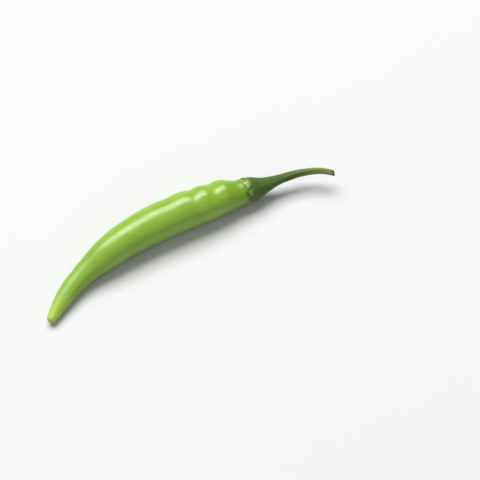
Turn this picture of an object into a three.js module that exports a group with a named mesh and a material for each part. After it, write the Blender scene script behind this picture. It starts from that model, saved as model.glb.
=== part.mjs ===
// A long green chilli pepper, picked with its stem and lying on its side on a flat surface.
//
// Frame: millimetres, +Z up, z = 0 is the surface it lies on. +X runs along the pepper from the blossom
// tip towards the picked end of the stem, and +Y is the outer side of its bend. The origin is the bottom
// centre of its bounding box.
//
// Three grown pieces, each its own mesh:
//   pod    the fruit, a tapering horn that bends to one side, with a few soft swellings near its shoulder
//   calyx  the six-toothed green cap that covers the pod's shoulder
//   stem   the ribbed stalk, with a flared foot inside the calyx and a dry picked end
//
// Each piece is a lathe-turned profile, reshaped round its axis and then bent along one shared spine.
// A profile point is (radius, distance from the blossom tip along the spine).

import * as THREE from "three";

// ---- Driving dimensions ----------------------------------------------------------------------------

// The spine, from the blossom tip to the picked end: x, y from the tip, z above the surface.
const SPINE_POINTS = [
  [-1.8, -1.2, 2.3],
  [6, 4.1, 3.15],
  [13, 7.9, 3.75],
  [22.5, 11.3, 4.95],
  [32, 13.4, 6.5],
  [43, 14.8, 7.2],
  [57, 15.2, 7.65],
  [71, 14.3, 7.65],
  [84, 12.8, 6.95],
  [93, 11.5, 6.35],
  [101, 9.9, 6.3],
  [110, 8.7, 6.8],
  [119, 6.8, 7.4],
  [126.5, 3.1, 8.1],
  [130.8, -1.1, 8.6],
];
// The bounding box's centre in the spine's x and y, which the origin stands under.
const BOX_CENTRE = [64.5, 10.5];

// The pod's half thickness: [distance from the tip, radius].
const POD_TIP_LENGTH = 2;
const POD_RADII = [
  [POD_TIP_LENGTH, 1.95],
  [5, 2.5],
  [10, 3.3],
  [16, 3.9],
  [22, 4.3],
  [29, 5.2],
  [36, 6.3],
  [45, 6.95],
  [54, 7.4],
  [63, 7.8],
  [72, 7.8],
  [81, 7.45],
  [88, 6.95],
  [94, 6.25],
  [98, 5.6],
  [101, 5.05],
  [103.2, 4.45],
];
const POD_SHOULDER_LENGTH = 3.2;

// Soft swellings and hollows on the pod's skin. Angles turn about the spine, from 0 on top through +90 on
// the inner side of the bend.
const SWELLINGS = [
  { along: 34, angle: -60, rise: -0.12, halfLength: 5, halfSpread: 60 },
  { along: 47, angle: 60, rise: 0.2, halfLength: 9, halfSpread: 60 },
  { along: 56, angle: -100, rise: 0.2, halfLength: 8, halfSpread: 50 },
  { along: 67.5, angle: -50, rise: -0.3, halfLength: 3.6, halfSpread: 60 },
  { along: 73, angle: -40, rise: 0.25, halfLength: 3, halfSpread: 60 },
  { along: 78.2, angle: -35, rise: -0.55, halfLength: 1.6, halfSpread: 45 },
  { along: 82.6, angle: -8, rise: 0.7, halfLength: 2.2, halfSpread: 44 },
  { along: 84, angle: 85, rise: 0.25, halfLength: 7, halfSpread: 50 },
  { along: 87, angle: -45, rise: -0.3, halfLength: 2, halfSpread: 55 },
  { along: 89.6, angle: -72, rise: 0.75, halfLength: 3.6, halfSpread: 30 },
  { along: 91.4, angle: -10, rise: 0.9, halfLength: 2.4, halfSpread: 48 },
  { along: 97.2, angle: -40, rise: -0.35, halfLength: 2.2, halfSpread: 80 },
  { along: 48, angle: -140, rise: 0.25, halfLength: 6, halfSpread: 36 },
  { along: 75, angle: -132, rise: -0.3, halfLength: 2.4, halfSpread: 34 },
  { along: 81, angle: -128, rise: 0.35, halfLength: 2.6, halfSpread: 34 },
  { along: 70, angle: 160, rise: -0.25, halfLength: 3, halfSpread: 34 },
  { along: 88, angle: 160, rise: -0.3, halfLength: 2.4, halfSpread: 34 },
];
// They fade out between these distances from the shoulder, under the calyx.
const SWELLING_FADE = [2, 8];

// The calyx: a shell from its rim, over the shoulder, to a narrow collar round the stem.
const CALYX_OUTER = [
  [101.1, 5.5],
  [102.6, 5.35],
  [104.6, 4.9],
  [106.6, 4.2],
  [108.9, 3.42],
  [111.2, 2.86],
  [113.4, 2.52],
  [115.2, 2.32],
];
const CALYX_INNER = [
  [115.1, 2.1],
  [113.4, 2.16],
  [111.2, 2.36],
  [108.9, 2.9],
  [106.6, 3.6],
  [104.6, 4.4],
  [102.8, 4.95],
  [101.3, 5.22],
];

// The calyx's teeth lie on the pod at these angles, and each carries a rib down to the stem.
const TOOTH_ANGLES = [-4, 42, 95, 153, 216, 283];
const TOOTH_HALF_SPREAD = 18;
const TOOTH_LENGTH = 1.2;
const TOOTH_FLARE = 0.3;
const TOOTH_ROOT = 103.2;
const RIB_HEIGHT = 0.14;

// The stem: [distance from the tip, radius], from its foot on the pod's shoulder to the picked end.
const STEM_RADII = [
  [106.9, 3.1],
  [108.9, 2.48],
  [111.2, 1.95],
  [113.4, 1.75],
  [115.2, 1.74],
  [116.6, 1.84],
  [118.4, 1.86],
  [123.4, 1.6],
  [129.4, 1.32],
  [134.4, 1.14],
  [139.2, 1],
];
const STEM_END = 139.5;

// How finely each piece is faceted.
const POD_FACETS = 40;
const POD_RINGS = 56;
const CAP_RINGS = 6;
const CALYX_FACETS = 40;
const CALYX_RINGS = 9;
const STEM_FACETS = 20;
const STEM_RINGS = 26;

const FINISHES = {
  pod: { color: 0x7fa832, roughness: 0.32 },
  calyx: { color: 0x5c7c30, roughness: 0.55 },
  stem: { color: 0x6d8b3a, roughness: 0.6 },
};

// ---- The spine -------------------------------------------------------------------------------------

const spine = new THREE.CatmullRomCurve3(SPINE_POINTS.map((point) => new THREE.Vector3(...point)));
spine.arcLengthDivisions = 2000;
const spineLength = spine.getLength();
const UP = new THREE.Vector3(0, 0, 1);

// The spine's centre and the two directions across it, at a distance from the tip.
function spineFrame(along) {
  const share = along / spineLength;
  const centre = spine.getPointAt(THREE.MathUtils.clamp(share, 0, 1));
  const tangent = spine.getTangentAt(THREE.MathUtils.clamp(share, 0, 1));
  centre.addScaledVector(tangent, along - THREE.MathUtils.clamp(along, 0, spineLength));
  const top = UP.clone().addScaledVector(tangent, -UP.dot(tangent)).normalize();
  const inner = new THREE.Vector3().crossVectors(tangent, top);
  return { centre, top, inner };
}

// ---- Shapes ----------------------------------------------------------------------------------------

// A smooth run of profile points through [along, radius] pairs.
function flank(pairs, rings) {
  const curve = new THREE.SplineCurve(pairs.map(([along, radius]) => new THREE.Vector2(radius, along)));
  return curve.getSpacedPoints(rings);
}

// A quarter of an ellipse that closes the profile onto the axis, from the axis outwards if it is the tip.
function roundEnd(radius, from, length, isTip) {
  const centreAlong = isTip ? from + length : from;
  const start = isTip ? -Math.PI / 2 : 0;
  const curve = new THREE.EllipseCurve(0, centreAlong, radius, length, start, start + Math.PI / 2);
  return curve.getPoints(CAP_RINGS);
}

// Turns a profile, reshapes it with reshape(along, angle, radius), and bends it along the spine.
function sweep(profile, facets, reshape) {
  const geometry = new THREE.LatheGeometry(profile, facets);
  const position = geometry.getAttribute("position");
  for (let i = 0; i < position.count; i++) {
    const angle = Math.atan2(position.getX(i), position.getZ(i));
    const radius = Math.hypot(position.getX(i), position.getZ(i));
    const shaped = reshape(position.getY(i), angle, radius);
    const { centre, top, inner } = spineFrame(shaped.along);
    centre.addScaledVector(top, shaped.radius * Math.cos(angle));
    centre.addScaledVector(inner, shaped.radius * Math.sin(angle));
    // The skin flattens a little where it bears on the surface.
    position.setXYZ(i, centre.x, centre.y, Math.max(centre.z, 0));
  }
  geometry.computeVertexNormals();
  return geometry;
}

// The turn in degrees, from -180 to 180, from the middle given in degrees to an angle in radians.
function turnFrom(angle, middle) {
  return THREE.MathUtils.euclideanModulo(THREE.MathUtils.radToDeg(angle) - middle + 180, 360) - 180;
}

// How far the pod's skin stands above its round profile.
function swelling(along, angle) {
  let rise = 0;
  for (const bump of SWELLINGS) {
    const down = (along - bump.along) / bump.halfLength;
    const across = turnFrom(angle, bump.angle) / bump.halfSpread;
    rise += bump.rise * Math.exp(-down * down - across * across);
  }
  return rise;
}

// How near an angle lies to the middle of a tooth, from 0 between two teeth to 1.
function crest(angle) {
  const heights = TOOTH_ANGLES.map((middle) => {
    const off = turnFrom(angle, middle) / TOOTH_HALF_SPREAD;
    return Math.exp(-off * off);
  });
  return Math.max(...heights);
}

function podGeometry() {
  const [tipAlong, tipRadius] = POD_RADII[0];
  const [shoulderAlong, shoulderRadius] = POD_RADII.at(-1);
  const profile = [
    ...roundEnd(tipRadius, 0, tipAlong, true),
    ...flank(POD_RADII, POD_RINGS).slice(1),
    ...roundEnd(shoulderRadius, shoulderAlong, POD_SHOULDER_LENGTH, false).slice(1),
  ];
  return sweep(profile, POD_FACETS, (along, angle, radius) => {
    const fade = THREE.MathUtils.smoothstep(shoulderAlong - along, ...SWELLING_FADE);
    return { along, radius: radius > 0 ? radius + fade * swelling(along, angle) : 0 };
  });
}

function calyxGeometry() {
  const outer = flank(CALYX_OUTER, CALYX_RINGS);
  const inner = flank(CALYX_INNER, CALYX_RINGS);
  const profile = [...inner, ...outer, inner[0].clone()];
  return sweep(profile, CALYX_FACETS, (along, angle, radius) => {
    const towardsRim = THREE.MathUtils.clamp((TOOTH_ROOT - along) / (TOOTH_ROOT - CALYX_OUTER[0][0]), 0, 1);
    const reach = crest(angle) * towardsRim ** 2;
    return {
      along: along - TOOTH_LENGTH * reach,
      radius: radius + TOOTH_FLARE * reach + RIB_HEIGHT * crest(angle) * (1 - towardsRim),
    };
  });
}

function stemGeometry() {
  const [footAlong] = STEM_RADII[0];
  const side = flank(STEM_RADII, STEM_RINGS);
  const profile = [new THREE.Vector2(0, footAlong), ...side, new THREE.Vector2(0, STEM_END)];
  return sweep(profile, STEM_FACETS, (along, angle, radius) => ({
    along,
    radius: radius > 0 ? radius + RIB_HEIGHT * crest(angle) : 0,
  }));
}

// ---- Assembly --------------------------------------------------------------------------------------

function piece(name, geometry) {
  const material = new THREE.MeshStandardMaterial({ ...FINISHES[name], metalness: 0 });
  const mesh = new THREE.Mesh(geometry, material);
  mesh.name = name;
  return mesh;
}

const pepper = new THREE.Group();
pepper.name = "green_chilli_pepper";
pepper.position.set(-BOX_CENTRE[0], -BOX_CENTRE[1], 0);
pepper.add(piece("pod", podGeometry()));
pepper.add(piece("calyx", calyxGeometry()));
pepper.add(piece("stem", stemGeometry()));

export default pepper;
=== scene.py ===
"""A green chilli pepper, picked with its stem and lying on its side.

The pod, the calyx and the stem are each grown by a node tree: a profile is turned round an axis, reshaped,
and bent along the pepper's one spine. Lengths are in metres once they reach Blender. The numbers kept in
the classes are in millimetres and degrees, as a grower would measure them, but for the studio's.

Two coordinates are used all through: along, the distance from the blossom tip measured on the spine, and
turn, the angle round the spine, from 0 on top through +90 on the inner side of the bend.
"""

import logging
import math
from dataclasses import dataclass, field
from enum import Enum
from typing import ClassVar, Sequence

import bpy
from mathutils import Matrix, Vector


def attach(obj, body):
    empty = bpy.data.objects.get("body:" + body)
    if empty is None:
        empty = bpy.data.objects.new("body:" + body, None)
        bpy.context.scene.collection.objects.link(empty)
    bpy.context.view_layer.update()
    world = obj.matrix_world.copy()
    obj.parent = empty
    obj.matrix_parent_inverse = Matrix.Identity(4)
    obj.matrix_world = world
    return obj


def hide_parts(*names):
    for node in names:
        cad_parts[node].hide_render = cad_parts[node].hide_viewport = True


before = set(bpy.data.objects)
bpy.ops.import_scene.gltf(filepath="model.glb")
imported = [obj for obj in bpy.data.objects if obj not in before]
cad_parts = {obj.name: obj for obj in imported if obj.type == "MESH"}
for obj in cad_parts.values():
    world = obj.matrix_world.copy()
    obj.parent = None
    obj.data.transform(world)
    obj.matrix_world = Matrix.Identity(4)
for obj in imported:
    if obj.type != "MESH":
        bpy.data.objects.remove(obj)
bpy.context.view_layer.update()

log = logging.getLogger("pepper")

MM = 0.001
BODY = "root"
UP = (0.0, 0.0, 1.0)

# The values kept on the meshes for the finishes: a point's place before the bend, and how near it lies to
# the rim.
STRAIGHT = "straight"
RIM = "rim"

# Points nearer than this, in millimetres, are joined where a turned sheet meets itself.
WELD = 0.002

Socket = bpy.types.NodeSocket
Point = tuple[float, ...]


class Texture(Enum):
    """How coarse a noise pattern is: its detail levels and their roughness."""

    BROAD = (2.0, 0.5)
    MEDIUM = (4.0, 0.55)


class Graph:
    """Adds nodes to one node tree and links them as it goes."""

    def __init__(self, tree: bpy.types.NodeTree) -> None:
        """Takes the tree to add to.

        Args:
            tree: a geometry or shader node tree.
        """
        self.tree = tree

    def feed(self, socket: Socket, value: object) -> None:
        """Links or sets one input.

        Args:
            socket: the input.
            value: another node's output, or a plain value.
        """
        if isinstance(value, bpy.types.NodeSocket):
            self.tree.links.new(value, socket)
        else:
            socket.default_value = value

    def add(
        self, kind: str, inputs: dict[str | int, object] | None = None, **settings: object
    ) -> bpy.types.Node:
        """Adds one node.

        Args:
            kind: the node's type name.
            inputs: what feeds its inputs, by socket name or number.
            settings: the node's own properties.

        Returns:
            The node.
        """
        node = self.tree.nodes.new(kind)
        for name, value in settings.items():
            setattr(node, name, value)
        for key, value in (inputs or {}).items():
            self.feed(node.inputs[key], value)
        return node

    def math(self, operation: str, *values: object) -> Socket:
        """Adds a Math node.

        Args:
            operation: its operation.
            values: its inputs, in order.

        Returns:
            Its result.
        """
        kind = "ShaderNodeMath"
        return self.add(kind, dict(enumerate(values)), operation=operation).outputs[0]

    def vector(self, operation: str, *values: object) -> Socket:
        """Adds a Vector Math node.

        Args:
            operation: its operation.
            values: its inputs, in order. The factor of SCALE comes second.

        Returns:
            Its vector, or its number for DOT_PRODUCT.
        """
        keys = (0, "Scale") if operation == "SCALE" else range(len(values))
        node = self.add("ShaderNodeVectorMath", dict(zip(keys, values)), operation=operation)
        return node.outputs["Value" if operation == "DOT_PRODUCT" else "Vector"]

    def ramp(self, value: object, start: float, end: float, low: float = 0.0, high: float = 1.0) -> Socket:
        """Adds a smooth step from one value to another.

        Args:
            value: what is stepped.
            start: where the step starts. It may lie beyond its end.
            end: where the step ends.
            low: the result at the start.
            high: the result at the end.

        Returns:
            The stepped value.
        """
        inputs = {"Value": value, "From Min": start, "From Max": end, "To Min": low, "To Max": high}
        node = self.add("ShaderNodeMapRange", inputs, interpolation_type="SMOOTHSTEP")
        return node.outputs["Result"]

    def noise(self, place: Socket, scale: object, seed: Socket, detail: object, roughness: float) -> Socket:
        """Adds four-dimensional noise.

        Args:
            place: the point it is read at, in metres.
            scale: how many of its largest lumps fit in a metre.
            seed: a fixed number that picks the pattern.
            detail: how many finer levels it has.
            roughness: how strong each level is against the one before.

        Returns:
            The noise, from 0 to 1.
        """
        inputs = {"Vector": place, "W": seed, "Scale": scale, "Detail": detail, "Roughness": roughness}
        return self.add("ShaderNodeTexNoise", inputs, noise_dimensions="4D").outputs[0]

    def gaussian(self, *distances: object) -> Socket:
        """Adds a soft bell.

        Args:
            distances: distances from its middle, each over its half width.

        Returns:
            The bell, 1 in its middle.
        """
        total = 0.0
        for distance in distances:
            total = self.math("MULTIPLY_ADD", distance, distance, total)
        return self.math("EXPONENT", self.math("MULTIPLY", total, -1.0))

    def turned_away(self, turn: Socket, middle: object, half_spread: object) -> Socket:
        """Measures how far a turn lies from a middle, the short way round.

        Args:
            turn: the turn, in radians.
            middle: the middle, in radians.
            half_spread: the half width to measure it in, in radians.

        Returns:
            The distance over the half spread.
        """
        off = self.math("WRAP", self.math("SUBTRACT", turn, middle), math.pi, -math.pi)
        return self.math("DIVIDE", off, half_spread)

    def crest(self, turn: Socket, middles: Sequence[float], half_spread: float) -> Socket:
        """Adds a soft crest at each of several turns.

        Args:
            turn: the turn, in radians.
            middles: where the crests stand, in degrees.
            half_spread: half the width of a crest, in degrees.

        Returns:
            1 on a crest, 0 between two of them.
        """
        highest: object = 0.0
        for middle in middles:
            away = self.turned_away(turn, math.radians(middle), math.radians(half_spread))
            highest = self.math("MAXIMUM", highest, self.gaussian(away))
        return highest

    def place(self, group: bpy.types.NodeTree, **values: object) -> Socket:
        """Places a node group.

        Args:
            group: the group, of the same kind as this tree.
            values: what feeds its inputs, by name.

        Returns:
            Its first output.
        """
        kind = self.tree.bl_idname.replace("NodeTree", "NodeGroup")
        return self.add(kind, values, node_tree=group).outputs[0]

    def blend(self, share: object, first: object, second: object) -> Socket:
        """Mixes two colours.

        Args:
            share: the share of the second.
            first: the colour at 0.
            second: the colour at 1.

        Returns:
            The mixed colour.
        """
        node = self.add("ShaderNodeMix", data_type="RGBA")
        for socket, value in zip((node.inputs[0], node.inputs[6], node.inputs[7]), (share, first, second)):
            self.feed(socket, value)
        return node.outputs[2]


def new_group(
    name: str, kind: str, inputs: dict[str, tuple[str, object]], outputs: dict[str, str]
) -> tuple[Graph, bpy.types.Node, bpy.types.Node]:
    """Starts a node group with named sockets.

    Args:
        name: the group's name.
        kind: GeometryNodeTree or ShaderNodeTree.
        inputs: each input's socket type and starting value, None for none.
        outputs: each output's socket type.

    Returns:
        Its graph, its input node and its output node.
    """
    tree = bpy.data.node_groups.new(name, kind)
    for label, (socket_type, value) in inputs.items():
        socket = tree.interface.new_socket(label, in_out="INPUT", socket_type="NodeSocket" + socket_type)
        if value is not None:
            socket.default_value = value
    for label, socket_type in outputs.items():
        tree.interface.new_socket(label, in_out="OUTPUT", socket_type="NodeSocket" + socket_type)
    graph = Graph(tree)
    return graph, graph.add("NodeGroupInput"), graph.add("NodeGroupOutput")


def smooth_path(points: Sequence[Point], steps: int) -> list[Vector]:
    """Draws a smooth line through points, as a centripetal Catmull-Rom curve.

    Args:
        points: the points, two or three numbers each.
        steps: how many stretches each gap is cut into.

    Returns:
        The line's points, the given ones among them.
    """
    line = [Vector(point) for point in points]
    line = [2 * line[0] - line[1], *line, 2 * line[-1] - line[-2]]
    path = [line[1].copy()]
    for before, start, end, after in zip(line, line[1:], line[2:], line[3:]):
        pairs = ((before, start), (start, end), (end, after))
        gap_in, gap, gap_out = (math.sqrt((b - a).length) for a, b in pairs)
        leave = (start - before) / gap_in - (end - before) / (gap_in + gap) + (end - start) / gap
        arrive = (end - start) / gap - (after - start) / (gap + gap_out) + (after - end) / gap_out
        for step in range(1, steps + 1):
            t = step / steps
            point = start * (2 * t**3 - 3 * t**2 + 1) + end * (3 * t**2 - 2 * t**3)
            point += (leave * (t**3 - 2 * t**2 + t) + arrive * (t**3 - t**2)) * gap
            path.append(point)
    return path


def guide_line(name: str, points: Sequence[Vector], closed: bool = False) -> bpy.types.Object:
    """Makes a line of edges for a node tree to read.

    Args:
        name: its name.
        points: its points, in millimetres.
        closed: whether its last point joins its first.

    Returns:
        The line, as a mesh object.
    """
    edges = [(i, i + 1) for i in range(len(points) - 1)]
    if closed:
        edges.append((len(points) - 1, 0))
    mesh = bpy.data.meshes.new(name)
    mesh.from_pydata([point * MM for point in points], edges, [])
    guide = bpy.data.objects.new(name, mesh)
    bpy.context.scene.collection.objects.link(guide)
    return guide


@dataclass
class Spine:
    """The line that every piece is bent along, from the blossom tip to the picked end.

    Its points are x, y from the tip and z above the surface, in millimetres.
    """

    points: tuple[Point, ...] = (
        (-1.8, -1.2, 2.3),
        (6, 4.1, 3.15),
        (13, 7.9, 3.75),
        (22.5, 11.3, 4.95),
        (32, 13.4, 6.5),
        (43, 14.8, 7.2),
        (57, 15.2, 7.65),
        (71, 14.3, 7.65),
        (84, 12.8, 6.95),
        (93, 11.5, 6.35),
        (101, 9.9, 6.3),
        (110, 8.7, 6.8),
        (119, 6.8, 7.4),
        (126.5, 3.1, 8.1),
        (130.8, -1.1, 8.6),
    )
    origin: Point = (64.5, 10.5, 0)
    steps: int = 40
    flattening: float = 0.1

    def guide(self) -> bpy.types.Object:
        """Returns the spine as a line, in the pepper's own frame."""
        origin = Vector(self.origin)
        return guide_line("spine_guide", [point - origin for point in smooth_path(self.points, self.steps)])

    def bend_group(self) -> bpy.types.NodeTree:
        """Builds the group that bends a straight piece along the spine.

        Returns:
            The group. It gives a point's place from its distance along, its turn and its radius, and lets
            no point sink below the surface that the pepper lies on.
        """
        graph, given, result = new_group(
            "bend along spine",
            "GeometryNodeTree",
            {
                "Spine": ("Geometry", None),
                "Along": ("Float", 0.0),
                "Turn": ("Float", 0.0),
                "Radius": ("Float", 0.0),
                "Flattening": ("Float", self.flattening * MM),
            },
            {"Position": "Vector"},
        )
        line = graph.add("GeometryNodeMeshToCurve", {"Mesh": given.outputs["Spine"]}).outputs["Curve"]
        where = {"Curves": line, "Length": given.outputs["Along"]}
        sample = graph.add("GeometryNodeSampleCurve", where, mode="LENGTH")
        tangent = sample.outputs["Tangent"]
        slope = graph.vector("DOT_PRODUCT", tangent, UP)
        top = graph.vector("NORMALIZE", graph.vector("SUBTRACT", UP, graph.vector("SCALE", tangent, slope)))
        inner = graph.vector("CROSS_PRODUCT", tangent, top)
        turn, radius = given.outputs["Turn"], given.outputs["Radius"]
        rise = graph.vector("SCALE", top, graph.math("MULTIPLY", radius, graph.math("COSINE", turn)))
        side = graph.vector("SCALE", inner, graph.math("MULTIPLY", radius, graph.math("SINE", turn)))
        place = graph.vector("ADD", sample.outputs["Position"], graph.vector("ADD", rise, side))
        parts = graph.add("ShaderNodeSeparateXYZ", {0: place}).outputs
        height = graph.math("SMOOTH_MAX", parts[2], 0.0, given.outputs["Flattening"])
        held = graph.add("ShaderNodeCombineXYZ", {0: parts[0], 1: parts[1], 2: height}).outputs[0]
        graph.feed(result.inputs["Position"], held)
        return graph.tree


@dataclass
class Swelling:
    """A soft swelling, or a hollow where its rise is below 0. Lengths in millimetres, angles in degrees."""

    along: float
    turn: float
    rise: float
    half_length: float
    half_spread: float

    @staticmethod
    def group() -> bpy.types.NodeTree:
        """Builds the group that adds one swelling to a height.

        Returns:
            The group.
        """
        graph, given, result = new_group(
            "swelling",
            "GeometryNodeTree",
            {
                "Height": ("Float", 0.0),
                "Along": ("Float", 0.0),
                "Turn": ("Float", 0.0),
                "Middle Along": ("Float", 0.0),
                "Middle Turn": ("Float", 0.0),
                "Rise": ("Float", 0.0),
                "Half Length": ("Float", 1.0),
                "Half Spread": ("Float", 1.0),
            },
            {"Height": "Float"},
        )
        sockets = given.outputs
        off = graph.math("SUBTRACT", sockets["Along"], sockets["Middle Along"])
        down = graph.math("DIVIDE", off, sockets["Half Length"])
        across = graph.turned_away(sockets["Turn"], sockets["Middle Turn"], sockets["Half Spread"])
        bell = graph.gaussian(down, across)
        height = graph.math("MULTIPLY_ADD", bell, sockets["Rise"], sockets["Height"])
        graph.feed(result.inputs["Height"], height)
        return graph.tree

    def inputs(self) -> dict[str, float]:
        """Returns this swelling's own inputs to the group, in metres and radians."""
        return {
            "Middle Along": self.along * MM,
            "Middle Turn": math.radians(self.turn),
            "Rise": self.rise * MM,
            "Half Length": self.half_length * MM,
            "Half Spread": math.radians(self.half_spread),
        }


@dataclass
class Layout:
    """The sockets that a piece's tree is shaped with."""

    graph: Graph
    given: bpy.types.Node
    along: Socket
    turn: Socket
    radius: Socket

    @property
    def straight(self) -> Socket:
        """The point's place before the bend, with the spine as the Z axis."""
        graph = self.graph
        across = graph.math("MULTIPLY", self.radius, graph.math("COSINE", self.turn))
        aside = graph.math("MULTIPLY", self.radius, graph.math("SINE", self.turn))
        return graph.add("ShaderNodeCombineXYZ", {0: across, 1: aside, 2: self.along}).outputs[0]

    def stretched(self, stretch: float) -> Socket:
        """Returns the straight place with lengths along the spine divided by stretch, for long patterns."""
        return self.graph.vector("MULTIPLY", self.straight, (1.0, 1.0, 1.0 / stretch))


@dataclass(frozen=True)
class Wave:
    """Noise that raises and lowers a skin. Its width and height are in millimetres."""

    width: float
    height: float
    stretch: float = 1.0
    texture: Texture = Texture.MEDIUM

    def add_to(self, layout: Layout, height: Socket) -> Socket:
        """Adds the wave to a height.

        Args:
            layout: the tree and its sockets.
            height: the height so far.

        Returns:
            The new height.
        """
        graph, seed = layout.graph, layout.given.outputs["Seed"]
        place = layout.stretched(self.stretch)
        noise = graph.noise(place, 1 / (self.width * MM), seed, *self.texture.value)
        centred = graph.math("SUBTRACT", noise, 0.5)
        return graph.math("MULTIPLY_ADD", centred, self.height * MM, height)


@dataclass
class GrownPiece:
    """A piece turned from a profile and bent along the spine."""

    name: ClassVar[str] = ""
    slot: ClassVar[str] = ""
    closed: ClassVar[bool] = False

    rings: int = 200
    facets: int = 96
    seed: float = 1.0

    def profile(self) -> list[Vector]:
        """Returns the profile's points as (radius, along), outwards-facing when read in order."""
        raise NotImplementedError

    def reshape(self, layout: Layout) -> tuple[Socket, Socket]:
        """Reshapes the turned profile.

        Args:
            layout: the tree and its sockets.

        Returns:
            The new distance along and the new radius.
        """
        return layout.along, layout.radius

    def marks(self, layout: Layout) -> dict[str, Socket]:
        """Returns values to keep on the mesh for the piece's finish, by name."""
        return {}

    def tree(self, bend: bpy.types.NodeTree) -> bpy.types.NodeTree:
        """Builds the piece's node tree.

        Args:
            bend: the group from Spine.bend_group().

        Returns:
            The tree.
        """
        graph, given, result = new_group(
            self.name + " growth",
            "GeometryNodeTree",
            {
                "Profile": ("Geometry", None),
                "Spine": ("Object", None),
                "Rings": ("Int", self.rings),
                "Facets": ("Int", self.facets),
                "Seed": ("Float", self.seed),
                "Material": ("Material", None),
            },
            {"Mesh": "Geometry"},
        )
        counts = [graph.math("ADD", given.outputs[label], 1.0) for label in ("Facets", "Rings")]
        sheet = graph.add("GeometryNodeMeshGrid", {"Vertices X": counts[0], "Vertices Y": counts[1]})
        position = graph.add("GeometryNodeInputPosition").outputs[0]
        place = graph.add("ShaderNodeSeparateXYZ", {0: position}).outputs
        turn = graph.math("MULTIPLY_ADD", place[0], math.tau, math.pi)
        outline = graph.add("GeometryNodeMeshToCurve", {"Mesh": given.outputs["Profile"]}).outputs["Curve"]
        share = graph.math("ADD", place[1], 0.5)
        sample = graph.add("GeometryNodeSampleCurve", {"Curves": outline, "Factor": share}, mode="FACTOR")
        turned = graph.add("ShaderNodeSeparateXYZ", {0: sample.outputs["Position"]}).outputs
        layout = Layout(graph, given, along=turned[2], turn=turn, radius=turned[0])
        along, radius = self.reshape(layout)
        mesh = sheet.outputs["Mesh"]
        for label, value in {STRAIGHT: layout.straight, **self.marks(layout)}.items():
            kind = "FLOAT_VECTOR" if label == STRAIGHT else "FLOAT"
            kept = {"Geometry": mesh, "Name": label, "Value": value}
            mesh = graph.add("GeometryNodeStoreNamedAttribute", kept, data_type=kind).outputs["Geometry"]
        spine = graph.add("GeometryNodeObjectInfo", {"Object": given.outputs["Spine"]}).outputs["Geometry"]
        bent = graph.place(bend, Spine=spine, Along=along, Turn=turn, Radius=radius)
        mesh = graph.add("GeometryNodeSetPosition", {"Geometry": mesh, "Position": bent}).outputs[0]
        weld = {"Geometry": mesh, "Distance": WELD * MM}
        mesh = graph.add("GeometryNodeMergeByDistance", weld).outputs[0]
        mesh = graph.add("GeometryNodeRealizeInstances", {"Geometry": mesh}).outputs[0]
        finish = {"Geometry": mesh, "Material": given.outputs["Material"]}
        mesh = graph.add("GeometryNodeSetMaterial", finish).outputs[0]
        graph.feed(result.inputs["Mesh"], mesh)
        return graph.tree

    def build(
        self, spine: bpy.types.Object, bend: bpy.types.NodeTree, skin: bpy.types.Material
    ) -> bpy.types.Object:
        """Grows the piece and hands it to the frame.

        Args:
            spine: the spine's guide line.
            bend: the group from Spine.bend_group().
            skin: the piece's material.

        Returns:
            The finished piece.
        """
        points = [Vector((radius, 0, along)) for radius, along in self.profile()]
        host = guide_line(self.name + "_profile", points, self.closed)
        modifier = host.modifiers.new("growth", "NODES")
        modifier.node_group = self.tree(bend)
        values = {
            "Spine": spine,
            "Rings": self.rings,
            "Facets": self.facets,
            "Seed": self.seed,
            "Material": skin,
        }
        for item in modifier.node_group.interface.items_tree:
            if item.in_out == "INPUT" and item.name in values:
                modifier[item.identifier] = values[item.name]
        depsgraph = bpy.context.evaluated_depsgraph_get()
        mesh = bpy.data.meshes.new_from_object(
            host.evaluated_get(depsgraph), preserve_all_data_layers=True, depsgraph=depsgraph
        )
        mesh.name = self.name + "_skin"
        mesh.shade_smooth()
        bpy.data.objects.remove(host)
        piece = bpy.data.objects.new(self.name + "_visual", mesh)
        bpy.context.scene.collection.objects.link(piece)
        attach(piece, BODY)
        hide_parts(self.name)
        log.info("%s: %d faces", piece.name, len(mesh.polygons))
        return piece


def round_end(radius: float, middle: float, length: float, steps: int) -> list[Point]:
    """Draws a quarter of an ellipse, from the widest place to the axis.

    Args:
        radius: its half width.
        middle: where on the axis it is widest.
        length: how far it reaches along the axis, below 0 towards the blossom tip.
        steps: how many stretches it is cut into.

    Returns:
        Its points as (radius, along), starting after the widest place.
    """
    turns = [math.pi / 2 * step / steps for step in range(1, steps)]
    points = [(radius * math.cos(turn), middle + length * math.sin(turn)) for turn in turns]
    return [*points, (0.0, middle + length)]


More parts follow.
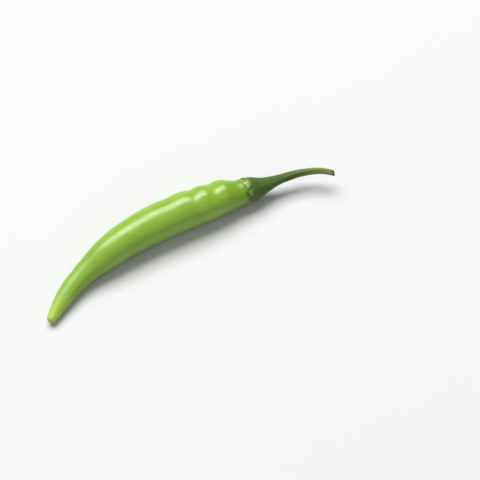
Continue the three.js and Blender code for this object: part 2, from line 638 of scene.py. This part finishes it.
@dataclass
class Pod(GrownPiece):
    """The fruit: a tapering horn with soft swellings where the seeds press on its wall."""

    name: ClassVar[str] = "pod"
    slot: ClassVar[str] = "pod_skin"

    rings: int = 430
    facets: int = 150
    seed: float = 3.0
    tip_length: float = 2.0
    shoulder_length: float = 3.2
    radii: tuple[Point, ...] = (
        (2, 1.95),
        (5, 2.5),
        (10, 3.3),
        (16, 3.9),
        (22, 4.3),
        (29, 5.2),
        (36, 6.3),
        (45, 6.95),
        (54, 7.4),
        (63, 7.8),
        (72, 7.8),
        (81, 7.45),
        (88, 6.95),
        (94, 6.25),
        (98, 5.6),
        (101, 5.05),
        (103.2, 4.45),
    )
    swellings: tuple[Swelling, ...] = (
        Swelling(34, -60, -0.12, 5, 60),
        Swelling(47, 60, 0.2, 9, 60),
        Swelling(56, -100, 0.2, 8, 50),
        Swelling(67.5, -50, -0.3, 3.6, 60),
        Swelling(73, -40, 0.25, 3, 60),
        Swelling(78.2, -35, -0.55, 1.6, 45),
        Swelling(82.6, -8, 0.7, 2.2, 44),
        Swelling(84, 85, 0.25, 7, 50),
        Swelling(87, -45, -0.3, 2.0, 55),
        Swelling(89.6, -72, 0.75, 3.6, 30),
        Swelling(91.4, -10, 0.9, 2.4, 48),
        Swelling(97.2, -40, -0.35, 2.2, 80),
        Swelling(48, -140, 0.25, 6, 36),
        Swelling(75, -132, -0.3, 2.4, 34),
        Swelling(81, -128, 0.35, 2.6, 34),
        Swelling(70, 160, -0.25, 3, 34),
        Swelling(88, 160, -0.3, 2.4, 34),
    )
    lumps: Wave = Wave(9.0, 0.3, stretch=1.6, texture=Texture.BROAD)
    ripples: Wave = Wave(2.4, 0.09, stretch=1.8, texture=Texture.BROAD)
    dimples: Wave = Wave(1.1, 0.03)
    # Near the tip and under the calyx the skin is even: where that starts and ends, from the tip, and from
    # the shoulder.
    even_tip: tuple[float, float] = (0.0, 5.0)
    even_shoulder: tuple[float, float] = (1.0, 7.0)
    end_steps: int = 10
    flank_steps: int = 12

    def profile(self) -> list[Vector]:
        """Returns the profile, from the blossom tip to the top of the shoulder."""
        (tip_along, tip_radius), (shoulder_along, shoulder_radius) = self.radii[0], self.radii[-1]
        tip = round_end(tip_radius, tip_along, -self.tip_length, self.end_steps)[::-1]
        flank = [(radius, along) for along, radius in smooth_path(self.radii, self.flank_steps)]
        shoulder = round_end(shoulder_radius, shoulder_along, self.shoulder_length, self.end_steps)
        return [Vector(point) for point in (*tip, *flank, *shoulder)]

    def reshape(self, layout: Layout) -> tuple[Socket, Socket]:
        """Adds the swellings, and the slow and the quick waves of the skin."""
        graph = layout.graph
        group = Swelling.group()
        height: object = 0.0
        for swelling in self.swellings:
            given = {"Height": height, "Along": layout.along, "Turn": layout.turn}
            height = graph.place(group, **given, **swelling.inputs())
        for wave in (self.lumps, self.ripples, self.dimples):
            height = wave.add_to(layout, height)
        shoulder = self.radii[-1][0]
        fade_in = graph.ramp(layout.along, *(end * MM for end in self.even_tip))
        fade_out = graph.ramp(layout.along, *((shoulder - end) * MM for end in self.even_shoulder))
        height = graph.math("MULTIPLY", height, graph.math("MULTIPLY", fade_in, fade_out))
        return layout.along, graph.math("ADD", layout.radius, height)


@dataclass
class FibrousPiece(GrownPiece):
    """A green piece with long fibres. The pattern runs on from one such piece to the next."""

    seed: float = 5.0
    fibres: Wave = Wave(0.9, 0.07, stretch=8.0)
    side_steps: int = 8

    def side(self, pairs: Sequence[Point]) -> list[Point]:
        """Returns a smooth side through (along, radius) pairs, as (radius, along)."""
        return [(radius, along) for along, radius in smooth_path(pairs, self.side_steps)]


@dataclass
class Calyx(FibrousPiece):
    """The toothed cap of joined sepals: a shell over the pod's shoulder and the foot of the stem."""

    name: ClassVar[str] = "calyx"
    slot: ClassVar[str] = "calyx_skin"
    closed: ClassVar[bool] = True

    rings: int = 220
    facets: int = 240
    outer: tuple[Point, ...] = (
        (101.1, 5.4),
        (101.6, 5.46),
        (102.8, 5.32),
        (104.6, 4.9),
        (106.6, 4.2),
        (108.9, 3.42),
        (111.2, 2.86),
        (113.4, 2.4),
        (115.4, 2.06),
        (116.8, 1.9),
    )
    inner: tuple[Point, ...] = (
        (116.8, 1.875),
        (115.4, 1.92),
        (113.4, 2.08),
        (111.2, 2.36),
        (108.9, 2.9),
        (106.6, 3.6),
        (104.6, 4.4),
        (102.8, 4.93),
        (101.6, 5.12),
        (101.05, 5.24),
    )
    tooth_turns: tuple[float, ...] = (-4, 42, 95, 153, 216, 283)
    tooth_half_spread: float = 16.0
    tooth_length: float = 1.2
    tooth_flare: float = 0.3
    tooth_root: float = 103.2
    rim_width: float = 3.0
    rib_height: float = 0.14

    def profile(self) -> list[Vector]:
        """Returns the profile, up the outside from the rim and back down the inside."""
        return [Vector(point) for point in (*self.side(self.outer), *self.side(self.inner))]

    def reshape(self, layout: Layout) -> tuple[Socket, Socket]:
        """Draws the teeth out along the pod and raises a rib behind each one."""
        graph = layout.graph
        crest = graph.crest(layout.turn, self.tooth_turns, self.tooth_half_spread)
        rim = self.outer[0][0]
        before_root = graph.math("SUBTRACT", self.tooth_root * MM, layout.along)
        towards_rim = graph.math("DIVIDE", before_root, (self.tooth_root - rim) * MM)
        towards_rim = graph.math("MINIMUM", graph.math("MAXIMUM", towards_rim, 0.0), 1.0)
        reach = graph.math("MULTIPLY", crest, graph.math("MULTIPLY", towards_rim, towards_rim))
        along = graph.math("MULTIPLY_ADD", reach, -self.tooth_length * MM, layout.along)
        rib = graph.math("MULTIPLY", crest, graph.math("SUBTRACT", 1.0, towards_rim))
        radius = graph.math("MULTIPLY_ADD", rib, self.rib_height * MM, layout.radius)
        radius = graph.math("MULTIPLY_ADD", reach, self.tooth_flare * MM, radius)
        return along, self.fibres.add_to(layout, radius)

    def marks(self, layout: Layout) -> dict[str, Socket]:
        """Returns how near each point lies to the rim."""
        rim = self.outer[0][0]
        return {RIM: layout.graph.ramp(layout.along, (rim + self.rim_width) * MM, rim * MM)}


@dataclass
class Stem(FibrousPiece):
    """The ribbed stalk, from its widened foot under the calyx to the dry end where it was picked."""

    name: ClassVar[str] = "stem"
    slot: ClassVar[str] = "stem_skin"

    rings: int = 330
    facets: int = 96
    fibres: Wave = Wave(0.9, 0.08, stretch=8.0)
    radii: tuple[Point, ...] = (
        (106.9, 3.1),
        (108.9, 2.48),
        (111.2, 1.95),
        (113.4, 1.75),
        (115.2, 1.76),
        (116.8, 1.85),
        (118.4, 1.85),
        (123.4, 1.6),
        (129.4, 1.32),
        (134.4, 1.14),
        (138, 1.02),
        (139.2, 1.04),
    )
    end: float = 139.5
    # The cut at the picked end: shares of its radius, and how far each lies below the end, from its edge to
    # its hollow middle.
    cut: tuple[Point, ...] = ((0.93, 0.06), (0.8, 0.0), (0.6, 0.12), (0.3, 0.35), (0.0, 0.35))
    # The flat foot: shares of its radius, from its middle to its edge.
    foot: tuple[float, ...] = (0.0, 0.5, 0.96)
    slant: float = 0.45
    slant_turn: float = 125.0
    slant_length: float = 4.0
    # The ribs run on from the calyx's, and rise and wind as they leave its collar.
    rib_turns: ClassVar[tuple[float, ...]] = Calyx.tooth_turns
    rib_half_spread: float = 16.0
    rib_rise: tuple[float, float] = (Calyx.rib_height, 0.2)
    rib_rise_reach: tuple[float, float] = (1.6, 5.0)
    rib_start: float = 115.2
    rib_twist: float = 1.6
    # The radii between which the ribs and fibres fade out over the ends.
    smooth_middle: tuple[float, float] = (0.5, 0.95)

    def profile(self) -> list[Vector]:
        """Returns the profile, from the middle of the foot to the middle of the picked end."""
        (foot_along, foot_radius), (_, end_radius) = self.radii[0], self.radii[-1]
        foot = [(foot_radius * share, foot_along) for share in self.foot]
        cut = [(end_radius * share, self.end - depth) for share, depth in self.cut]
        return [Vector(point) for point in (*foot, *self.side(self.radii), *cut)]

    def reshape(self, layout: Layout) -> tuple[Socket, Socket]:
        """Raises the ribs, which wind slightly, and the fibres, and slants the picked end."""
        graph = layout.graph
        outwards = graph.math("DIVIDE", layout.radius, self.radii[-1][1] * MM)
        facing = graph.math("COSINE", graph.math("SUBTRACT", layout.turn, math.radians(self.slant_turn)))
        slant_start = (self.end - self.slant_length) * MM
        near_end = graph.ramp(layout.along, slant_start, self.end * MM, 0.0, self.slant * MM)
        slant = graph.math("MULTIPLY", graph.math("MULTIPLY", outwards, facing), near_end)
        beyond = graph.math("SUBTRACT", layout.along, self.rib_start * MM)
        beyond = graph.math("MAXIMUM", beyond, 0.0)
        wound = graph.math("MULTIPLY_ADD", beyond, math.radians(self.rib_twist) / MM, layout.turn)
        crest = graph.crest(wound, self.rib_turns, self.rib_half_spread)
        height = graph.ramp(beyond, *(length * MM for length in (*self.rib_rise_reach, *self.rib_rise)))
        rise = self.fibres.add_to(layout, graph.math("MULTIPLY", crest, height))
        fade = graph.ramp(layout.radius, *(radius * MM for radius in self.smooth_middle))
        return graph.math("ADD", layout.along, slant), graph.math("MULTIPLY_ADD", rise, fade, layout.radius)


def linear(colour: Sequence[float]) -> tuple[float, float, float, float]:
    """Turns a colour as it is seen, 0 to 255, into the light it stands for.

    Args:
        colour: red, green and blue.

    Returns:
        The colour in linear light, with full alpha.
    """
    shares = [value / 255 for value in colour]
    made = [share / 12.92 if share <= 0.04045 else ((share + 0.055) / 1.055) ** 2.4 for share in shares]
    return (made[0], made[1], made[2], 1.0)


class Effects:
    """The shader groups that more than one finish uses, each built once."""

    # The part of the noise that each group stretches out over 0 to 1.
    streak_span: ClassVar[tuple[float, float]] = (0.3, 0.7)
    mottle_span: ClassVar[tuple[float, float]] = (0.28, 0.72)

    def __init__(self) -> None:
        """Builds the groups."""
        self.streaks = self._streaks()
        self.mottle = self._mottle()

    def _streaks(self) -> bpy.types.NodeTree:
        """Builds long fine streaks that follow the spine.

        Returns:
            The group. Its Value runs from 0 to 1.
        """
        graph, given, result = new_group(
            "lengthwise streaks",
            "ShaderNodeTree",
            {"Size": ("Float", 1.0), "Stretch": ("Float", 8.0), "Seed": ("Float", 0.0)},
            {"Value": "Float"},
        )
        straight = graph.add("ShaderNodeAttribute", attribute_name=STRAIGHT).outputs["Vector"]
        squeeze = graph.math("DIVIDE", 1.0, given.outputs["Stretch"])
        factors = graph.add("ShaderNodeCombineXYZ", {0: 1.0, 1: 1.0, 2: squeeze}).outputs[0]
        place = graph.vector("MULTIPLY", straight, factors)
        scale = graph.math("DIVIDE", 1.0 / MM, given.outputs["Size"])
        noise = graph.noise(place, scale, given.outputs["Seed"], *Texture.MEDIUM.value)
        graph.feed(result.inputs["Value"], graph.ramp(noise, *self.streak_span))
        return graph.tree

    def _mottle(self) -> bpy.types.NodeTree:
        """Builds soft blotches.

        Returns:
            The group. Its Value runs from 0 to 1.
        """
        graph, given, result = new_group(
            "mottle",
            "ShaderNodeTree",
            {"Size": ("Float", 5.0), "Seed": ("Float", 0.0), "Detail": ("Float", 3.0)},
            {"Value": "Float"},
        )
        place = graph.add("ShaderNodeTexCoord").outputs["Object"]
        scale = graph.math("DIVIDE", 1.0 / MM, given.outputs["Size"])
        _, roughness = Texture.BROAD.value
        noise = graph.noise(place, scale, given.outputs["Seed"], given.outputs["Detail"], roughness)
        graph.feed(result.inputs["Value"], graph.ramp(noise, *self.mottle_span))
        return graph.tree


def start_material(name: str) -> tuple[bpy.types.Material, Graph, bpy.types.Node]:
    """Starts a material with one Principled shader.

    Args:
        name: its name.

    Returns:
        The material, its graph and the shader.
    """
    material = bpy.data.materials.new(name)
    material.use_nodes = True
    material.node_tree.nodes.clear()
    graph = Graph(material.node_tree)
    shader = graph.add("ShaderNodeBsdfPrincipled")
    graph.add("ShaderNodeOutputMaterial", {"Surface": shader.outputs[0]})
    return material, graph, shader


def along_spine(graph: Graph) -> Socket:
    """Returns each point's distance along the spine, in metres, in a material."""
    straight = graph.add("ShaderNodeAttribute", attribute_name=STRAIGHT).outputs["Vector"]
    return graph.add("ShaderNodeSeparateXYZ", {0: straight}).outputs[2]


def add_bump(graph: Graph, shader: bpy.types.Node, height: Socket, bump: tuple[float, float]) -> None:
    """Gives a material a bump.

    Args:
        graph: the material's graph.
        shader: its shader.
        height: the bump's height, 0 to 1.
        bump: its strength, and its depth in millimetres.
    """
    strength, depth = bump
    inputs = {"Strength": strength, "Distance": depth * MM, "Height": height}
    graph.feed(shader.inputs["Normal"], graph.add("ShaderNodeBump", inputs).outputs[0])


@dataclass(frozen=True)
class PodFinish:
    """Fresh waxy green skin, paler towards the blossom tip. Colours are as seen, 0 to 255.

    A reach is where on the spine a change starts and where it is complete, in millimetres. A share is how
    much of a colour is then mixed in.
    """

    body: Point = (126, 167, 36)
    deep: Point = (105, 146, 27)
    deep_share: float = 0.45
    streak_share: float = 0.18
    tip: Point = (174, 204, 80)
    tip_reach: tuple[float, float] = (18.0, 0.0)
    tip_share: float = 0.7
    shoulder: Point = (100, 138, 28)
    shoulder_reach: tuple[float, float] = (86.0, 102.0)
    shoulder_share: float = 0.75
    roughness: tuple[float, float] = (0.28, 0.38)
    dull_reach: tuple[float, float] = (44.0, 12.0)
    tip_dullness: float = 0.14
    bump: tuple[float, float] = (0.25, 0.02)
    gloss: float = 0.58
    subsurface: float = 0.12
    subsurface_colour: tuple[float, float, float] = (1.0, 1.4, 0.3)
    subsurface_depth: float = 1.2

    def material(self, effects: Effects) -> bpy.types.Material:
        """Makes the material.

        Args:
            effects: the shared groups.

        Returns:
            The material.
        """
        material, graph, shader = start_material("pod_waxy_skin")
        along = along_spine(graph)
        mottle = graph.place(effects.mottle, Size=7.0, Seed=1.0, Detail=4.0)
        deep = graph.math("MULTIPLY", mottle, self.deep_share)
        colour = graph.blend(deep, linear(self.body), linear(self.deep))
        streaks = graph.place(effects.streaks, Size=1.6, Stretch=14.0, Seed=2.0)
        colour = graph.blend(graph.math("MULTIPLY", streaks, self.streak_share), colour, linear(self.tip))
        start, end = (place * MM for place in self.tip_reach)
        colour = graph.blend(graph.ramp(along, start, end, 0.0, self.tip_share), colour, linear(self.tip))
        start, end = (place * MM for place in self.shoulder_reach)
        shaded = graph.ramp(along, start, end, 0.0, self.shoulder_share)
        colour = graph.blend(shaded, colour, linear(self.shoulder))
        graph.feed(shader.inputs["Base Color"], colour)
        worn = graph.place(effects.mottle, Size=2.0, Seed=4.0, Detail=3.0)
        start, end = (place * MM for place in self.dull_reach)
        dull = graph.ramp(along, start, end, 0.0, self.tip_dullness)
        roughness = graph.math("ADD", graph.ramp(worn, 0.0, 1.0, *self.roughness), dull)
        graph.feed(shader.inputs["Roughness"], roughness)
        grain = graph.place(effects.mottle, Size=0.35, Seed=6.0, Detail=2.0)
        add_bump(graph, shader, grain, self.bump)
        shader.inputs["Specular IOR Level"].default_value = self.gloss
        shader.inputs["Subsurface Weight"].default_value = self.subsurface
        shader.inputs["Subsurface Radius"].default_value = self.subsurface_colour
        shader.inputs["Subsurface Scale"].default_value = self.subsurface_depth * MM
        return material


@dataclass(frozen=True)
class FibrousFinish:
    """Dull green with darker fibres. Colours are as seen, 0 to 255."""

    name: ClassVar[str] = ""

    body: Point = (68, 97, 16)
    deep: Point = (40, 66, 5)
    deep_share: float = 0.6
    mottle_size: float = 2.2
    mottle_seed: float = 3.0
    roughness: tuple[float, float] = (0.42, 0.56)
    bump: tuple[float, float] = (0.5, 0.05)
    gloss: float = 0.34
    sheen: float = 0.05

    def tinted(self, graph: Graph, effects: Effects, mottle: Socket, colour: Socket) -> Socket:
        """Adds the colours that only this piece has.

        Args:
            graph: the material's graph.
            effects: the shared groups.
            mottle: the finish's blotches.
            colour: the colour so far.

        Returns:
            The new colour.
        """
        raise NotImplementedError

    def material(self, effects: Effects) -> bpy.types.Material:
        """Makes the material.

        Args:
            effects: the shared groups.

        Returns:
            The material.
        """
        material, graph, shader = start_material(self.name)
        streaks = graph.place(effects.streaks, Size=0.8, Stretch=12.0, Seed=5.0)
        mottle = graph.place(effects.mottle, Size=self.mottle_size, Seed=self.mottle_seed, Detail=4.0)
        deep = graph.math("MULTIPLY", streaks, self.deep_share)
        colour = graph.blend(deep, linear(self.body), linear(self.deep))
        graph.feed(shader.inputs["Base Color"], self.tinted(graph, effects, mottle, colour))
        graph.feed(shader.inputs["Roughness"], graph.ramp(mottle, 0.0, 1.0, *self.roughness))
        add_bump(graph, shader, streaks, self.bump)
        shader.inputs["Specular IOR Level"].default_value = self.gloss
        shader.inputs["Sheen Weight"].default_value = self.sheen
        return material


@dataclass(frozen=True)
class CalyxFinish(FibrousFinish):
    """Dull ribbed green, pale in patches along the toothed rim."""

    name: ClassVar[str] = "calyx_dull_skin"

    rim: Point = (160, 186, 96)
    patch_size: float = 3.4
    patch_seed: float = 11.0
    # The blotches between which a patch grows, and how much of the rim's colour it then takes.
    patch_span: tuple[float, float] = (0.35, 0.95)
    rim_share: tuple[float, float] = (0.04, 0.9)

    def tinted(self, graph: Graph, effects: Effects, mottle: Socket, colour: Socket) -> Socket:
        """Pales the rim in patches."""
        rim = graph.add("ShaderNodeAttribute", attribute_name=RIM).outputs["Fac"]
        patches = graph.place(effects.mottle, Size=self.patch_size, Seed=self.patch_seed, Detail=1.0)
        share = graph.ramp(patches, *self.patch_span, *self.rim_share)
        pale = graph.math("MULTIPLY", graph.math("MULTIPLY", rim, rim), share)
        return graph.blend(pale, colour, linear(self.rim))


@dataclass(frozen=True)
class StemFinish(FibrousFinish):
    """Dull green stalk, drying and browned at the picked end."""

    name: ClassVar[str] = "stem_dull_skin"

    mottle_size: float = 1.6
    mottle_seed: float = 9.0
    sheen: float = 0.03
    dry: Point = (112, 126, 46)
    dry_share: float = 0.75
    cut: Point = (60, 52, 16)
    end: float = Stem.end
    # How far before the end each colour starts and is complete, and how ragged the brown edge is.
    dry_reach: tuple[float, float] = (22.0, 2.0)
    cut_reach: tuple[float, float] = (1.9, 0.3)
    cut_raggedness: float = 1.6

    def tinted(self, graph: Graph, effects: Effects, mottle: Socket, colour: Socket) -> Socket:
        """Dries the stalk towards its end and browns the cut."""
        along = along_spine(graph)
        start, end = ((self.end - reach) * MM for reach in self.dry_reach)
        colour = graph.blend(graph.ramp(along, start, end, 0.0, self.dry_share), colour, linear(self.dry))
        centred = graph.math("SUBTRACT", mottle, 0.5)
        ragged = graph.math("MULTIPLY_ADD", centred, self.cut_raggedness * MM, along)
        start, end = ((self.end - reach) * MM for reach in self.cut_reach)
        return graph.blend(graph.ramp(ragged, start, end), colour, linear(self.cut))


@dataclass(frozen=True)
class Softbox:
    """A soft light: its direction in degrees, its long and short side in metres, its power in watts."""

    name: str
    azimuth: float
    elevation: float
    sides: tuple[float, float]
    power: float


@dataclass
class Studio:
    """A pale floor, soft light and the camera.

    The camera's aim and distance are in millimetres, the sizes of the room and its lights in metres.
    """

    floor_size: float = 1.2
    floor_grey: float = 0.62
    floor_roughness: float = 0.7
    floor_gloss: float = 0.2
    # The floor lies this far below the pepper, in millimetres, so that the two never share a plane.
    floor_drop: float = 0.02
    aim: Point = (16.44, -18.95, 7.0)
    azimuth: float = -29.9
    elevation: float = 60.0
    distance: float = 541.0
    lens: float = 100.0
    clip: tuple[float, float] = (0.01, 20.0)
    room_light: float = 0.2
    room_seen: float = 0.93
    light_distance: float = 3.2
    heading: float = -14.0
    softboxes: tuple[Softbox, ...] = (
        Softbox("key", azimuth=170.0, elevation=60.0, sides=(3.1, 1.9), power=166.0),
        Softbox("fill", azimuth=-30.0, elevation=45.0, sides=(4.8, 4.8), power=32.0),
    )

    def floor(self) -> bpy.types.Object:
        """Lays the floor.

        Returns:
            The floor.
        """
        half = self.floor_size / 2
        mesh = bpy.data.meshes.new("floor")
        drop = self.floor_drop * MM
        corners = [(x * half, y * half, -drop) for x, y in ((-1, -1), (1, -1), (1, 1), (-1, 1))]
        mesh.from_pydata(corners, [], [(0, 1, 2, 3)])
        floor = bpy.data.objects.new("floor", mesh)
        bpy.context.scene.collection.objects.link(floor)
        material, _, shader = start_material("pale_floor")
        shader.inputs["Base Color"].default_value = (self.floor_grey,) * 3 + (1.0,)
        shader.inputs["Roughness"].default_value = self.floor_roughness
        shader.inputs["Specular IOR Level"].default_value = self.floor_gloss
        mesh.materials.append(material)
        return floor

    def hang(self, box: Softbox) -> None:
        """Hangs one soft light, aimed at the pepper, with its long side along the pepper.

        Args:
            box: the light.
        """
        data = bpy.data.lights.new(box.name, "AREA")
        data.shape = "RECTANGLE"
        data.size, data.size_y = box.sides
        data.energy = box.power
        light = bpy.data.objects.new(box.name, data)
        bpy.context.scene.collection.objects.link(light)
        back = self.direction(box.azimuth, box.elevation)
        heading = math.radians(self.heading)
        across = back.cross(Vector((math.cos(heading), math.sin(heading), 0.0))).normalized()
        light.location = back * self.light_distance
        light.rotation_euler = Matrix((across.cross(back), across, back)).transposed().to_euler()

    @staticmethod
    def direction(azimuth: float, elevation: float) -> Vector:
        """Finds the direction from the pepper to a viewpoint.

        Args:
            azimuth: round the pepper, 0 in front of it, in degrees.
            elevation: above the floor, in degrees.

        Returns:
            The direction, one unit long.
        """
        a, e = math.radians(azimuth), math.radians(elevation)
        return Vector((math.sin(a) * math.cos(e), -math.cos(a) * math.cos(e), math.sin(e)))

    def lights(self) -> None:
        """Hangs the lights and sets the pale surroundings."""
        for box in self.softboxes:
            self.hang(box)
        world = bpy.data.worlds.new("pale_room")
        world.use_nodes = True
        room = Graph(world.node_tree)
        seen = room.add("ShaderNodeLightPath").outputs["Is Camera Ray"]
        strength = room.math("MULTIPLY_ADD", seen, self.room_seen - self.room_light, self.room_light)
        background = world.node_tree.nodes["Background"]
        background.inputs["Color"].default_value = (1.0, 1.0, 1.0, 1.0)
        room.feed(background.inputs["Strength"], strength)
        bpy.context.scene.world = world
        bpy.context.scene.view_settings.view_transform = "Standard"

    def camera(self) -> None:
        """Sets up the camera."""
        data = bpy.data.cameras.new("camera")
        data.lens = self.lens
        camera = bpy.data.objects.new("camera", data)
        bpy.context.scene.collection.objects.link(camera)
        back = self.direction(self.azimuth, self.elevation)
        camera.location = (Vector(self.aim) + back * self.distance) * MM
        camera.rotation_euler = (-back).to_track_quat("-Z", "Y").to_euler()
        data.clip_start, data.clip_end = self.clip
        bpy.context.scene.camera = camera


@dataclass
class Pepper:
    """The whole pepper."""

    spine: Spine = field(default_factory=Spine)
    pod: Pod = field(default_factory=Pod)
    calyx: Calyx = field(default_factory=Calyx)
    stem: Stem = field(default_factory=Stem)

    def build(self) -> list[bpy.types.Object]:
        """Grows the three pieces in order.

        Returns:
            The pieces.
        """
        effects = Effects()
        guide = self.spine.guide()
        bend = self.spine.bend_group()
        finishes = (
            (self.pod, PodFinish()),
            (self.calyx, CalyxFinish()),
            (self.stem, StemFinish()),
        )
        pieces = [piece.build(guide, bend, finish.material(effects)) for piece, finish in finishes]
        bpy.data.objects.remove(guide)
        return pieces


def main() -> None:
    """Builds the pepper and its studio."""
    logging.basicConfig(level=logging.INFO, format="%(message)s")
    Pepper().build()
    studio = Studio()
    studio.floor()
    studio.lights()
    studio.camera()


if __name__ == "__main__":
    main()
